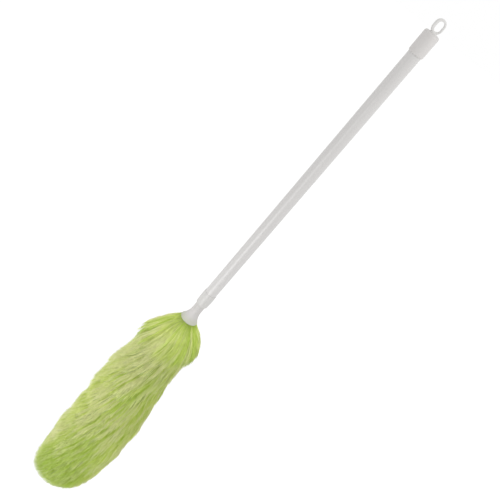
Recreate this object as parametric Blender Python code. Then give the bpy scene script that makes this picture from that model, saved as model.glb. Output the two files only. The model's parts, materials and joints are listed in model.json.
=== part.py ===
# Extendable duster, hanging from its loop.
# Units are metres. +Z runs along the pole towards the loop, and the origin is
# the point inside the top of the loop's hole where a hook bears.

import math
import random

import bmesh
import bpy
from mathutils import Matrix, Vector

mm = 0.001
degree = math.pi / 180

# Clearances
clearance = 0.3 * mm
cam_play = 0.6 * mm
overrun = 5.0 * mm
merge_reach = 0.001 * mm

# Hanging loop
loop_hole_length = 14.0 * mm
loop_hole_width = 8.0 * mm
loop_band = 3.7 * mm
loop_thickness = 4.2 * mm
loop_edge_bevel = 0.8 * mm
loop_foot_height = 3.1 * mm
loop_flange_diameter = 11.6 * mm
loop_flange_height = 1.6 * mm
stem_diameter = 5.0 * mm
barb_diameter = 6.6 * mm
barb_height = 3.0 * mm
barb_tip_diameter = 4.0 * mm
stem_slot_width = 1.2 * mm

# Outer tube
outer_tube_diameter = 19.0 * mm
outer_tube_wall = 0.5 * mm
outer_tube_length = 489.3 * mm

# End cap
cap_diameter = 22.0 * mm
cap_length = 30.3 * mm
cap_end_wall = 3.0 * mm
cap_shoulder_radius = 2.9 * mm
cap_rim_radius = 0.6 * mm
cap_spigot_length = 10.0 * mm
cap_spigot_wall = 2.4 * mm

# Inner tube
inner_tube_diameter = 16.0 * mm
inner_tube_wall = 0.5 * mm

# Collar
collar_diameter = 20.8 * mm
collar_nose_diameter = 19.4 * mm
collar_length = 30.0 * mm
collar_overlap = 12.0 * mm
collar_lip_radius = 0.4 * mm
collar_nose_round = 3.0 * mm
nose_recess = 1.0 * mm

# Twist lock, from the hidden end of the inner tube
plug_spigot_length = 22.0 * mm
plug_flange_diameter = 17.2 * mm
plug_flange_height = 2.0 * mm
plug_disc_height = 1.6 * mm
plug_end_disc_height = 2.0 * mm
glide_seat_diameter = 13.0 * mm
glide_ring_height = 7.4 * mm
glide_ring_gap = 2.4 * mm
journal_diameter = 9.0 * mm
journal_offset = 0.5 * mm
cam_height = 12.0 * mm
cam_slit = 1.6 * mm

# Head socket: spigot, neck and bell
socket_diameter = 14.4 * mm
socket_spigot_length = 41.0 * mm
neck_length = 10.0 * mm
bell_length = 22.0 * mm
bell_diameter = 29.5 * mm
bell_wall = 1.4 * mm
bell_cavity_length = 16.0 * mm

# Core rod, its pin, binding and button
rod_diameter = 7.0 * mm
rod_grip_length = 36.0 * mm
pin_diameter = 3.0 * mm
pin_end_inset = 0.1 * mm
pin_above_nose = 14.0 * mm
binding_thickness = 1.2 * mm
binding_height = 3.0 * mm
button_diameter = 10.6 * mm
button_length = 9.0 * mm
button_end_wall = 1.6 * mm

# Fibre head
pile_length = 464.4 * mm
pile_diameter = 124.2 * mm
lock_length = 38.0 * mm
lock_thickness = 4.4 * mm
lock_lean = 14.0 * degree
lock_sway = 3.0 * degree
skirt_diameter = 103.6 * mm
skirt_length = 78.0 * mm
skirt_lock_length = 40.0 * mm
skirt_lean = 15.6 * degree
skirt_root_diameter = 12.0 * mm
skirt_mouth_diameter = 25.6 * mm

# Shares of the pile's length and of its largest radius, tip last
pile_outline_shares = (
    (0.086, 0.630),
    (0.194, 0.742),
    (0.312, 0.853),
    (0.450, 0.933),
    (0.588, 0.967),
    (0.706, 1.000),
    (0.797, 0.970),
    (0.870, 0.925),
    (0.926, 0.848),
    (0.962, 0.634),
    (0.984, 0.345),
    (1.000, 0.060),
)
# Shares of the skirt's length and of its radius, from the bell's mouth down
skirt_outline_shares = (
    (0.10, 0.41),
    (0.23, 0.58),
    (0.38, 0.75),
)
# Where the first and the last row of locks end, as shares of the pile's outline
first_row_share = 0.115
last_row_share = 0.982
lock_waist_share = 0.55
lock_waist_width_share = 0.80
lock_length_spread_share = 0.14

# Counts
round_sides = 40
small_sides = 24
tier_sides = 24
skirt_sides = 30
tier_rows = (3, 3, 3, 3, 3, 3)
arc_steps = 4
bell_steps = 7
loop_arc_steps = 10

# Radii and places that follow from the sizes above
outer_tube_radius = outer_tube_diameter / 2
outer_bore_radius = outer_tube_radius - outer_tube_wall
inner_tube_radius = inner_tube_diameter / 2
inner_bore_radius = inner_tube_radius - inner_tube_wall
rod_radius = rod_diameter / 2
rod_bore_radius = rod_radius + clearance
socket_radius = socket_diameter / 2
pile_radius = pile_diameter / 2
skirt_radius = skirt_diameter / 2

loop_foot_z = -(loop_hole_length + loop_foot_height)
cap_end_z = loop_foot_z - clearance
cap_wall_z = cap_end_z - cap_end_wall
cap_rim_z = cap_end_z - cap_length
cap_spigot_z = cap_wall_z - cap_spigot_length
outer_tube_top = cap_wall_z - clearance
outer_tube_bottom = outer_tube_top - outer_tube_length

collar_shoulder_z = outer_tube_bottom - clearance
collar_rim_z = collar_shoulder_z + collar_overlap
collar_end_z = collar_rim_z - collar_length

plug_top_z = cap_spigot_z - clearance
journal_top_z = plug_top_z - plug_end_disc_height
journal_bottom_z = journal_top_z - cam_height - 2 * clearance
seat_top_z = journal_bottom_z - plug_disc_height
seat_bottom_z = seat_top_z - glide_ring_height - 2 * clearance
flange_bottom_z = seat_bottom_z - plug_flange_height
inner_tube_top = flange_bottom_z - clearance
inner_tube_bottom = collar_end_z + nose_recess
telescope_travel = flange_bottom_z - collar_shoulder_z - nose_recess

neck_end_z = collar_end_z - neck_length
bell_mouth_z = neck_end_z - bell_length
pile_end_z = bell_mouth_z - pile_length
pin_z = collar_end_z + pin_above_nose
rod_top = collar_end_z + rod_grip_length


# Materials

def make_material(name, colour, roughness, metallic=0.0):
    material = bpy.data.materials.new(name)
    material.use_nodes = True
    shader = material.node_tree.nodes["Principled BSDF"]
    shader.inputs["Base Color"].default_value = (*colour, 1.0)
    shader.inputs["Roughness"].default_value = roughness
    shader.inputs["Metallic"].default_value = metallic
    material.diffuse_color = (*colour, 1.0)
    return material


def make_materials():
    return {
        "outer_tube": make_material("pole_coating", (0.64, 0.63, 0.62), 0.42),
        "end_cap": make_material("cap_plastic", (0.65, 0.65, 0.63), 0.40),
        "hanging_loop": make_material("loop_plastic", (0.70, 0.70, 0.68), 0.38),
        "collar": make_material("collar_plastic", (0.63, 0.62, 0.61), 0.42),
        "head_socket": make_material("socket_plastic", (0.62, 0.61, 0.59), 0.45),
        "inner_tube": make_material("inner_tube_steel", (0.60, 0.60, 0.61), 0.28, 1.0),
        "lock_plug": make_material("plug_plastic", (0.72, 0.72, 0.70), 0.45),
        "lock_cam": make_material("cam_plastic", (0.05, 0.05, 0.05), 0.50),
        "glide_ring": make_material("glide_nylon", (0.80, 0.79, 0.74), 0.35),
        "head_pin": make_material("pin_steel", (0.62, 0.62, 0.63), 0.25, 1.0),
        "core_rod": make_material("rod_plastic", (0.75, 0.75, 0.72), 0.50),
        "skirt_binding": make_material("binding_steel", (0.58, 0.58, 0.58), 0.30, 1.0),
        "tip_button": make_material("button_plastic", (0.70, 0.72, 0.66), 0.45),
        "fibre": make_material("lime_fibre", (0.47, 0.60, 0.14), 0.85),
    }


# Shared tools

def clear_scene():
    for thing in list(bpy.data.objects):
        bpy.data.objects.remove(thing, do_unlink=True)


def add_object(name, bm, material, smooth_angle=35 * degree):
    bmesh.ops.recalc_face_normals(bm, faces=bm.faces)
    mesh = bpy.data.meshes.new(name)
    bm.to_mesh(mesh)
    bm.free()
    if material is not None:
        mesh.materials.append(material)
    mesh.shade_smooth()
    mesh.set_sharp_from_angle(angle=smooth_angle)
    thing = bpy.data.objects.new(name, mesh)
    bpy.context.collection.objects.link(thing)
    return thing


def add_cutter(name, bm):
    cutter = add_object(name, bm, None)
    cutter.hide_render = True
    cutter.display_type = "WIRE"
    return cutter


def arc(centre_radius, centre_z, across, along, start, end, steps=arc_steps):
    """Points of an elliptical arc in the radius and z plane."""
    points = []
    for step in range(steps + 1):
        angle = start + (end - start) * step / steps
        points.append((
            centre_radius + across * math.cos(angle),
            centre_z + along * math.sin(angle),
        ))
    return points


def turned(outline, sides=round_sides):
    """Spins an outline of (radius, z) points round the pole's axis. It is
    closed unless it starts and ends on the axis."""
    bm = bmesh.new()
    corners = [bm.verts.new((radius, 0.0, z)) for radius, z in outline]
    edges = [bm.edges.new(pair) for pair in zip(corners, corners[1:])]
    meets_axis = outline[0][0] == 0.0
    if not meets_axis:
        edges.append(bm.edges.new((corners[-1], corners[0])))
    bmesh.ops.spin(
        bm, geom=corners + edges, cent=(0.0, 0.0, 0.0), axis=(0.0, 0.0, 1.0),
        angle=2 * math.pi, steps=sides, use_merge=True,
    )
    if meets_axis:
        poles = [corner for corner in bm.verts if math.hypot(*corner.co.xy) < merge_reach]
        bmesh.ops.remove_doubles(bm, verts=poles, dist=merge_reach)
    return bm


def stacked(discs, sides=round_sides):
    """Joins discs of (radius, z, sideways shift), listed from the top down."""
    bm = bmesh.new()
    rings = []
    for radius, z, shift in discs:
        ring = []
        for side in range(sides):
            angle = 2 * math.pi * side / sides
            ring.append(bm.verts.new((
                shift + radius * math.cos(angle), radius * math.sin(angle), z,
            )))
        rings.append(ring)
    for upper, lower in zip(rings, rings[1:]):
        join_rings(bm, upper, lower, 0)
    bm.faces.new(rings[0])
    bm.faces.new(list(reversed(rings[-1])))
    return bm


def join_rings(bm, first, second, turn):
    """Fills between two rings. turn is 0, or +1 or -1 where the second is
    half a side ahead of or behind the first. Returns the quads."""
    count = len(first)
    quads = []
    for side in range(count):
        after = (side + 1) % count
        if turn == 0:
            quads.append(bm.faces.new((first[side], first[after], second[after], second[side])))
        else:
            near = second[side] if turn > 0 else second[after]
            far = second[after] if turn > 0 else second[(after + 1) % count]
            bm.faces.new((first[side], first[after], near))
            bm.faces.new((first[after], far, near))
    return quads


def rod_across(radius, length, z):
    """A round bar along X at the height z."""
    bm = bmesh.new()
    bmesh.ops.create_cone(
        bm, cap_ends=True, segments=small_sides, radius1=radius, radius2=radius,
        depth=length, matrix=Matrix.Rotation(math.pi / 2, 4, "Y"),
    )
    bmesh.ops.translate(bm, verts=bm.verts, vec=(0.0, 0.0, z))
    return bm


def combine(target, other, operation):
    change = target.modifiers.new(operation.lower(), "BOOLEAN")
    change.operation = operation
    change.solver = "EXACT"
    change.object = other


# Pole

def make_outer_tube(materials):
    outline = (
        (outer_bore_radius, outer_tube_top),
        (outer_tube_radius, outer_tube_top),
        (outer_tube_radius, outer_tube_bottom),
        (outer_bore_radius, outer_tube_bottom),
    )
    add_object("outer_tube", turned(outline), materials["outer_tube"])


def make_end_cap(materials):
    cap_radius = cap_diameter / 2
    skirt_bore = outer_tube_radius + clearance
    spigot_radius = outer_bore_radius - clearance
    stem_bore = stem_diameter / 2 + clearance
    outline = [(stem_bore, cap_end_z)]
    outline += arc(
        cap_radius - cap_shoulder_radius, cap_end_z - cap_shoulder_radius,
        cap_shoulder_radius, cap_shoulder_radius, math.pi / 2, 0.0,
    )
    outline += arc(
        cap_radius - cap_rim_radius, cap_rim_z + cap_rim_radius,
        cap_rim_radius, cap_rim_radius, 0.0, -math.pi / 2, steps=2,
    )
    outline += [
        (skirt_bore, cap_rim_z),
        (skirt_bore, cap_wall_z),
        (spigot_radius, cap_wall_z),
        (spigot_radius, cap_spigot_z),
        (spigot_radius - cap_spigot_wall, cap_spigot_z),
        (spigot_radius - cap_spigot_wall, cap_wall_z),
        (stem_bore, cap_wall_z),
    ]
    add_object("end_cap", turned(outline), materials["end_cap"])


def oval(half_width, half_length, centre_z):
    """An upright oval with straight sides and half round ends."""
    straight = half_length - half_width
    points = []
    for end, start in ((1, 0.0), (-1, math.pi)):
        for step in range(loop_arc_steps + 1):
            angle = start + math.pi * step / loop_arc_steps
            points.append((
                half_width * math.cos(angle),
                centre_z + end * straight + half_width * math.sin(angle),
            ))
    return points


def make_hanging_loop(materials):
    hole_half = loop_hole_width / 2
    hole_points = oval(hole_half, loop_hole_length / 2, -loop_hole_length / 2)
    rim_top = loop_band
    rim_bottom = loop_foot_z
    rim_points = oval(
        hole_half + loop_band, (rim_top - rim_bottom) / 2, (rim_top + rim_bottom) / 2,
    )
    bm = bmesh.new()
    hole = [bm.verts.new((x, -loop_thickness / 2, z)) for x, z in hole_points]
    rim = [bm.verts.new((x, -loop_thickness / 2, z)) for x, z in rim_points]
    face = join_rings(bm, rim, hole, 0)
    grown = bmesh.ops.extrude_face_region(bm, geom=face)
    raised = [item for item in grown["geom"] if isinstance(item, bmesh.types.BMVert)]
    bmesh.ops.translate(bm, verts=raised, vec=(0.0, loop_thickness, 0.0))
    loop = add_object("hanging_loop", bm, materials["hanging_loop"])
    bevel = loop.modifiers.new("edge_bevel", "BEVEL")
    bevel.width = loop_edge_bevel
    bevel.segments = 2
    bevel.limit_method = "ANGLE"
    bevel.angle_limit = 60 * degree
    combine(loop, make_loop_stem(), "UNION")
    combine(loop, make_stem_slot(), "DIFFERENCE")


def make_loop_stem():
    """The flange on the cap, the stem through it and the barbed end inside."""
    stem_radius = stem_diameter / 2
    barb_top = cap_wall_z - clearance
    discs = (
        (loop_flange_diameter / 2 - loop_edge_bevel, loop_foot_z + loop_flange_height, 0.0),
        (loop_flange_diameter / 2, loop_foot_z + loop_flange_height / 2, 0.0),
        (loop_flange_diameter / 2, loop_foot_z, 0.0),
        (stem_radius, loop_foot_z, 0.0),
        (stem_radius, barb_top, 0.0),
        (barb_diameter / 2, barb_top, 0.0),
        (barb_tip_diameter / 2, barb_top - barb_height, 0.0),
    )
    return add_cutter("loop_stem", stacked(discs, small_sides))


def make_stem_slot():
    slot_bottom = cap_wall_z - clearance - barb_height
    slot_height = cap_end_wall + barb_height
    bm = bmesh.new()
    bmesh.ops.create_cube(bm, size=1.0)
    bmesh.ops.scale(bm, verts=bm.verts, vec=(
        stem_slot_width, barb_diameter + overrun, slot_height + overrun,
    ))
    bmesh.ops.translate(bm, verts=bm.verts, vec=(
        0.0, 0.0, slot_bottom + slot_height / 2 - overrun / 2,
    ))
    return add_cutter("stem_slot", bm)


def make_collar(materials):
    rim_radius = collar_diameter / 2
    nose_radius = collar_nose_diameter / 2
    bore_radius = inner_tube_radius + clearance
    skirt_bore = outer_tube_radius + clearance
    outline = [(skirt_bore, collar_rim_z)]
    outline += arc(
        rim_radius - collar_lip_radius, collar_rim_z - collar_lip_radius,
        collar_lip_radius, collar_lip_radius, math.pi / 2, 0.0, steps=2,
    )
    outline.append((rim_radius, collar_shoulder_z))
    outline += arc(
        bore_radius, collar_end_z + collar_nose_round,
        nose_radius - bore_radius, collar_nose_round, 0.0, -math.pi / 2,
    )
    outline += [
        (bore_radius, collar_shoulder_z),
        (skirt_bore, collar_shoulder_z),
    ]
    add_object("collar", turned(outline), materials["collar"])


def make_inner_tube(materials):
    outline = (
        (inner_bore_radius, inner_tube_top),
        (inner_tube_radius, inner_tube_top),
        (inner_tube_radius, inner_tube_bottom),
        (inner_bore_radius, inner_tube_bottom),
    )
    tube = add_object("inner_tube", turned(outline), materials["inner_tube"])
    combine(tube, bpy.data.objects["pin_hole"], "DIFFERENCE")


# Twist lock

def make_lock_plug(materials):
    spigot_radius = inner_bore_radius - clearance
    flange_radius = plug_flange_diameter / 2
    seat_radius = glide_seat_diameter / 2
    journal_radius = journal_diameter / 2
    discs = (
        (flange_radius, plug_top_z, 0.0),
        (flange_radius, journal_top_z, 0.0),
        (journal_radius, journal_top_z, journal_offset),
        (journal_radius, journal_bottom_z, journal_offset),
        (flange_radius, journal_bottom_z, 0.0),
        (flange_radius, seat_top_z, 0.0),
        (seat_radius, seat_top_z, 0.0),
        (seat_radius, seat_bottom_z, 0.0),
        (flange_radius, seat_bottom_z, 0.0),
        (flange_radius, flange_bottom_z, 0.0),
        (spigot_radius, flange_bottom_z, 0.0),
        (spigot_radius, flange_bottom_z - plug_spigot_length, 0.0),
    )
    add_object("lock_plug", stacked(discs), materials["lock_plug"])


def split_ring(outer_radius, bore_radius, bore_shift, slit, top, bottom):
    """A ring with a slit on its +X side. Its bore may sit off centre."""
    outer_start = math.asin(slit / 2 / outer_radius)
    bore_start = math.asin(slit / 2 / bore_radius)
    bm = bmesh.new()
    outer = []
    bore = []
    for step in range(round_sides + 1):
        share = step / round_sides
        angle = outer_start + (2 * math.pi - 2 * outer_start) * share
        outer.append(bm.verts.new((
            outer_radius * math.cos(angle), outer_radius * math.sin(angle), bottom,
        )))
        angle = bore_start + (2 * math.pi - 2 * bore_start) * share
        bore.append(bm.verts.new((
            bore_shift + bore_radius * math.cos(angle), bore_radius * math.sin(angle), bottom,
        )))
    faces = []
    for step in range(round_sides):
        faces.append(bm.faces.new((outer[step], outer[step + 1], bore[step + 1], bore[step])))
    grown = bmesh.ops.extrude_face_region(bm, geom=faces)
    raised = [item for item in grown["geom"] if isinstance(item, bmesh.types.BMVert)]
    bmesh.ops.translate(bm, verts=raised, vec=(0.0, 0.0, top - bottom))
    return bm


def make_glide_ring(materials):
    ring = split_ring(
        outer_bore_radius - clearance, glide_seat_diameter / 2 + clearance, 0.0,
        glide_ring_gap, seat_top_z - clearance, seat_bottom_z + clearance,
    )
    add_object("glide_ring", ring, materials["glide_ring"])


def make_lock_cam(materials):
    ring = split_ring(
        outer_bore_radius - cam_play, journal_diameter / 2 + clearance, journal_offset,
        cam_slit, journal_top_z - clearance, journal_bottom_z + clearance,
    )
    bmesh.ops.translate(ring, verts=ring.verts, vec=(-journal_offset, 0.0, 0.0))
    cam = add_object("lock_cam", ring, materials["lock_cam"])
    cam.location.x = journal_offset


# Head socket and core

def bell_radius_at(share):
    """The bell's outside radius, from its neck at 0 to its mouth at 1."""
    flare = bell_diameter / 2 - socket_radius
    return socket_radius + flare * share ** 2.2


def make_head_socket(materials):
    spigot_top = collar_end_z + socket_spigot_length
    cavity_top = bell_mouth_z + bell_cavity_length
    outside = []
    inside = []
    for step in range(bell_steps + 1):
        share = step / bell_steps
        z = neck_end_z - bell_length * share
        radius = bell_radius_at(share)
        outside.append((radius, z))
        if z < cavity_top:
            inside.append((radius - bell_wall, z))
    outline = [(rod_bore_radius, spigot_top), (socket_radius, spigot_top)]
    outline += outside
    outline += reversed(inside)
    outline += [(socket_radius - bell_wall, cavity_top), (rod_bore_radius, cavity_top)]
    socket = add_object("head_socket", turned(outline), materials["head_socket"])
    combine(socket, bpy.data.objects["pin_hole"], "DIFFERENCE")


def make_pin_hole():
    hole_length = inner_tube_diameter + overrun
    add_cutter("pin_hole", rod_across(pin_diameter / 2 + clearance, hole_length, pin_z))


def make_head_pin(materials):
    pin_length = inner_tube_diameter - 2 * pin_end_inset
    pin = rod_across(pin_diameter / 2, pin_length, pin_z)
    add_object("head_pin", pin, materials["head_pin"])


def rod_bottom():
    """The rod ends inside the button, which lies under the last tier."""
    last_tier_bottom = ledge(row_places()[-1])[1][1]
    return last_tier_bottom - 2 * clearance - button_length + button_end_wall


def make_core_rod(materials):
    discs = ((rod_radius, rod_top, 0.0), (rod_radius, rod_bottom(), 0.0))
    rod = add_object("core_rod", stacked(discs, small_sides), materials["core_rod"])
    combine(rod, bpy.data.objects["pin_hole"], "DIFFERENCE")


def make_tip_button(materials):
    button_radius = button_diameter / 2
    floor_z = rod_bottom() - clearance
    bottom_z = floor_z - button_end_wall
    outline = [(0.0, floor_z), (rod_bore_radius, floor_z)]
    outline += [(rod_bore_radius, bottom_z + button_length), (button_radius, bottom_z + button_length)]
    outline += arc(
        button_radius - button_end_wall, bottom_z + button_end_wall,
        button_end_wall, button_end_wall, 0.0, -math.pi / 2,
    )
    outline.append((0.0, bottom_z))
    add_object("tip_button", turned(outline, small_sides), materials["tip_button"])


def make_skirt_binding(materials):
    bore_radius = skirt_root_diameter / 2 + clearance
    top = bell_mouth_z + 3 * binding_height
    outline = (
        (bore_radius, top),
        (bore_radius + binding_thickness, top),
        (bore_radius + binding_thickness, top - binding_height),
        (bore_radius, top - binding_height),
    )
    add_object("skirt_binding", turned(outline, small_sides), materials["skirt_binding"])


# Fibre head

def outline_point(share, outline):
    """The radius, the height and the outward slope at a share of an outline's
    whole run, with its points joined by straight lines."""
    runs = [math.dist(start, end) for start, end in zip(outline, outline[1:])]
    left = share * sum(runs)
    for start, end, run in zip(outline, outline[1:], runs):
        if left <= run:
            break
        left -= run
    part = left / run
    radius = start[0] + (end[0] - start[0]) * part
    z = start[1] + (end[1] - start[1]) * part
    return radius, z, math.atan2(end[0] - start[0], start[1] - end[1])


def row_places():
    """Each row of locks: where its tips end and how far they lean out."""
    outline = [
        (pile_radius * across, bell_mouth_z - pile_length * along)
        for along, across in pile_outline_shares
    ]
    count = sum(tier_rows)
    rows = []
    for row in range(count):
        share = first_row_share + (last_row_share - first_row_share) * row / (count - 1)
        radius, z, slope = outline_point(share, outline)
        if slope > 0.0:
            lean = lock_lean + slope
        else:
            lean = lock_lean * radius / pile_radius
        rows.append((radius, z, lean, lock_length))
    return rows


def ledge(row):
    """The outer and the inner edge of the ledge that a row's locks grow from."""
    radius, z, lean, length = row
    root_radius = radius - length * math.sin(lean)
    root_z = z + length * math.cos(lean)
    across = lock_thickness / 2 * math.cos(lean)
    along = lock_thickness / 2 * math.sin(lean)
    return (root_radius + across, root_z + along), (root_radius - across, root_z - along)


def add_ring(bm, radius, z, sides, turned_half):
    ring = []
    for side in range(sides):
        angle = 2 * math.pi * (side + 0.5 * turned_half) / sides
        ring.append(bm.verts.new((radius * math.cos(angle), radius * math.sin(angle), z)))
    return ring


def grow_lock(bm, face, lean, length, chance):
    """Draws one ledge face out into a pointed lock."""
    middle = face.calc_center_median()
    outward = Vector((middle.x, middle.y, 0.0)).normalized()
    sideways = Vector((-outward.y, outward.x, 0.0))
    sway = math.tan(lock_sway) * chance.uniform(-1.0, 1.0) * middle.xy.length / pile_radius
    way = outward * math.sin(lean) + sideways * sway
    way.z = -math.cos(lean)
    spread = 1.0 + lock_length_spread_share * chance.uniform(-1.0, 0.0)
    way = way.normalized() * length * spread
    waist = bmesh.ops.extrude_discrete_faces(bm, faces=[face])["faces"][0]
    for corner in waist.verts:
        offset = (corner.co - middle) * lock_waist_width_share
        corner.co = middle + offset + way * lock_waist_share
    tip = bmesh.ops.extrude_discrete_faces(bm, faces=[waist])["faces"][0]
    bmesh.ops.pointmerge(bm, verts=list(tip.verts), merge_co=middle + way)


def make_tier(name, upper_outline, rows, first_half, sides, chance, material):
    """A bundle of fibres round the rod: a smooth top, then rows of locks."""
    bm = bmesh.new()
    half = first_half
    above = None
    top_bore = add_ring(bm, rod_bore_radius, upper_outline[0][1], sides, first_half)
    for radius, z in upper_outline:
        ring = add_ring(bm, radius, z, sides, half)
        join_rings(bm, above if above else top_bore, ring, 0)
        above = ring
    ledges = []
    for index, row in enumerate(rows):
        turn = 0
        if index > 0:
            turn = -1 if half else 1
            half = 1 - half
        outer, inner = ledge(row)
        outer_ring = add_ring(bm, outer[0], outer[1], sides, half)
        inner_ring = add_ring(bm, inner[0], inner[1], sides, half)
        join_rings(bm, above, outer_ring, turn)
        faces = join_rings(bm, outer_ring, inner_ring, 0)
        ledges.append((faces, row))
        above = inner_ring
    bottom_z = ledge(rows[-1])[1][1]
    bottom_bore = add_ring(bm, rod_bore_radius, bottom_z, sides, half)
    join_rings(bm, above, bottom_bore, 0)
    bore_turn = 0
    if half != first_half:
        bore_turn = -1 if half else 1
    join_rings(bm, bottom_bore, top_bore, bore_turn)
    bmesh.ops.recalc_face_normals(bm, faces=bm.faces)
    for faces, row in ledges:
        for face in faces:
            grow_lock(bm, face, row[2], row[3], chance)
    add_object(name, bm, material)
    return half


def skirt_row():
    tip_z = bell_mouth_z - skirt_length
    return (skirt_radius, tip_z, skirt_lean, skirt_lock_length)


def make_skirt(materials, chance):
    root_radius = skirt_root_diameter / 2
    binding_bottom = bell_mouth_z + 2 * binding_height
    upper = [
        (root_radius, bell_mouth_z + 3 * binding_height + clearance),
        (root_radius, binding_bottom - clearance),
        (skirt_mouth_diameter / 2, bell_mouth_z - clearance),
    ]
    for along, across in skirt_outline_shares:
        upper.append((skirt_radius * across, bell_mouth_z - skirt_length * along))
    make_tier("skirt_fibres", upper, [skirt_row()], 0, skirt_sides, chance, materials["fibre"])


def make_fibre_tiers(materials, chance):
    rows = row_places()
    above = skirt_row()
    above_sides = skirt_sides
    half = 0
    start = 0
    for number, count in enumerate(tier_rows, start=1):
        inner_radius, inner_z = ledge(above)[1]
        top_radius = inner_radius * math.cos(math.pi / above_sides) - 2 * clearance
        upper = [(top_radius, inner_z - clearance)]
        tier = rows[start:start + count]
        half = make_tier(
            f"fibre_tier_{number}", upper, tier, 1 - half, tier_sides, chance,
            materials["fibre"],
        )
        above = tier[-1]
        above_sides = tier_sides
        start += count


def main():
    clear_scene()
    materials = make_materials()
    make_pin_hole()
    make_outer_tube(materials)
    make_end_cap(materials)
    make_hanging_loop(materials)
    make_collar(materials)
    make_inner_tube(materials)
    make_lock_plug(materials)
    make_glide_ring(materials)
    make_lock_cam(materials)
    make_head_socket(materials)
    make_head_pin(materials)
    make_core_rod(materials)
    make_tip_button(materials)
    make_skirt_binding(materials)
    chance = random.Random(7)
    make_skirt(materials, chance)
    make_fibre_tiers(materials, chance)
    print(f"travel {telescope_travel / mm:.1f} mm")
    print(f"pile ends at {pile_end_z / mm:.1f} mm")


main()
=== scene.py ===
# Extendable duster: finishes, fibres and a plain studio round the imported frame.
import json
import math

import bmesh
import bpy
import numpy as np
from mathutils import Matrix, Vector


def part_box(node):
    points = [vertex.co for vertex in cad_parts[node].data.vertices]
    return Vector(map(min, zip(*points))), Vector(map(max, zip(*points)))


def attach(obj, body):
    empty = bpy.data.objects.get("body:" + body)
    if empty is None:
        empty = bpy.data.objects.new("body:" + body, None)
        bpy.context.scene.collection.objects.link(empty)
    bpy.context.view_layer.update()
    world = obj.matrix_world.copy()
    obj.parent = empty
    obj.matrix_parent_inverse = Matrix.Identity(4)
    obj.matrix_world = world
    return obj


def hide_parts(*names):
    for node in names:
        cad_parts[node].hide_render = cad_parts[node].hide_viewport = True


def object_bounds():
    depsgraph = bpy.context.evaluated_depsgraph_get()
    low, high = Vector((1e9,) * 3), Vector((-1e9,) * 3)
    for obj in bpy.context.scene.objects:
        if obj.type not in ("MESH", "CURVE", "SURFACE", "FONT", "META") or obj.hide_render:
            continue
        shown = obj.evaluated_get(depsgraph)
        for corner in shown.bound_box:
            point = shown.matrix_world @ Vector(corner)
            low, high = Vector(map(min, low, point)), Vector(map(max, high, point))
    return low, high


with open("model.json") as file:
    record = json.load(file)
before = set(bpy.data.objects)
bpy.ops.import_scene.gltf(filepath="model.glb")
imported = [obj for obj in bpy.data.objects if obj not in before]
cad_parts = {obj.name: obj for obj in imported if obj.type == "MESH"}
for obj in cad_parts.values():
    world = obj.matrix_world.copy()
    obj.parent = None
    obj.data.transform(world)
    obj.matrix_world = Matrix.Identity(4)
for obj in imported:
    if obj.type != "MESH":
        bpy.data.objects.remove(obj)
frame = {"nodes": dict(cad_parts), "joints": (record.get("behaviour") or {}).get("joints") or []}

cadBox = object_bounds()
mm = 0.001
degree = math.pi / 180
joinReach = 0.002 * mm
white = (1.0, 1.0, 1.0, 1.0)


# Camera, worked out from the pole's slant and its taper in the photograph
cameraPlace = {
    "frameSide": 500,  # pixels
    "lens": 50.4 * mm,
    "sensor": 36.0 * mm,
    "poleLean": 27.63 * degree,  # out of the picture's plane, cap end nearer
    "roll": 40.6 * degree,  # of the pole from upright in the picture
    "turn": -18.0 * degree,  # about the pole, so the loop is seen from its left
    "aimHeight": -399.4 * mm,  # the point on the pole's axis that is aimed at
    "aimPixel": (248.7, 248.9),
    "distance": 1014.8 * mm,
    "clip": (0.02, 60.0),
}


def addObject(name, data):
    made = bpy.data.objects.new(name, data)
    bpy.context.scene.collection.objects.link(made)
    return made


def addCamera(place):
    lean = place["poleLean"]
    back = Vector((0.0, -math.cos(lean), math.sin(lean)))
    upright = Vector((0.0, math.sin(lean), math.cos(lean)))
    across = Vector((1.0, 0.0, 0.0))
    cosRoll = math.cos(place["roll"])
    sinRoll = math.sin(place["roll"])
    right = across * cosRoll + upright * sinRoll
    up = upright * cosRoll - across * sinRoll
    perPixel = place["distance"] * place["sensor"] / place["lens"] / place["frameSide"]
    half = place["frameSide"] / 2
    aside = (place["aimPixel"][0] - half) * perPixel
    above = (half - place["aimPixel"][1]) * perPixel
    eye = Vector((0.0, 0.0, place["aimHeight"]))
    eye += back * place["distance"] - right * aside - up * above
    data = bpy.data.cameras.new("photoCamera")
    data.lens = place["lens"] / mm
    data.sensor_width = place["sensor"] / mm
    data.clip_start, data.clip_end = place["clip"]
    camera = addObject("photoCamera", data)
    facing = Matrix((right, up, back)).transposed().to_4x4()
    turn = Matrix.Rotation(place["turn"], 4, "Z")
    camera.matrix_world = turn @ Matrix.Translation(eye) @ facing
    bpy.context.scene.camera = camera


addCamera(cameraPlace)
print("camera placed")


# Finishes: sums written on sockets add their own nodes

class Wire:
    def __init__(self, web, socket):
        self.web = web
        self.socket = socket

    def beside(self, word):  # another output of the same node
        return Wire(self.web, self.socket.node.outputs[word])

    def sum(self, operation, *values):
        return self.web.node("Math", {"operation": operation}, dict(enumerate(values)))

    def __add__(self, other):
        return self.sum("ADD", self, other)

    def __sub__(self, other):
        return self.sum("SUBTRACT", self, other)

    def __rsub__(self, other):
        return self.sum("SUBTRACT", other, self)

    def __mul__(self, other):
        return self.sum("MULTIPLY", self, other)

    __radd__, __rmul__ = __add__, __mul__

    def ramp(self, low, high):  # smoothly from 0 at low to 1 at high
        settings = {"interpolation_type": "SMOOTHSTEP"}
        return self.web.node("MapRange", settings, {0: self, 1: low, 2: high})


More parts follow.
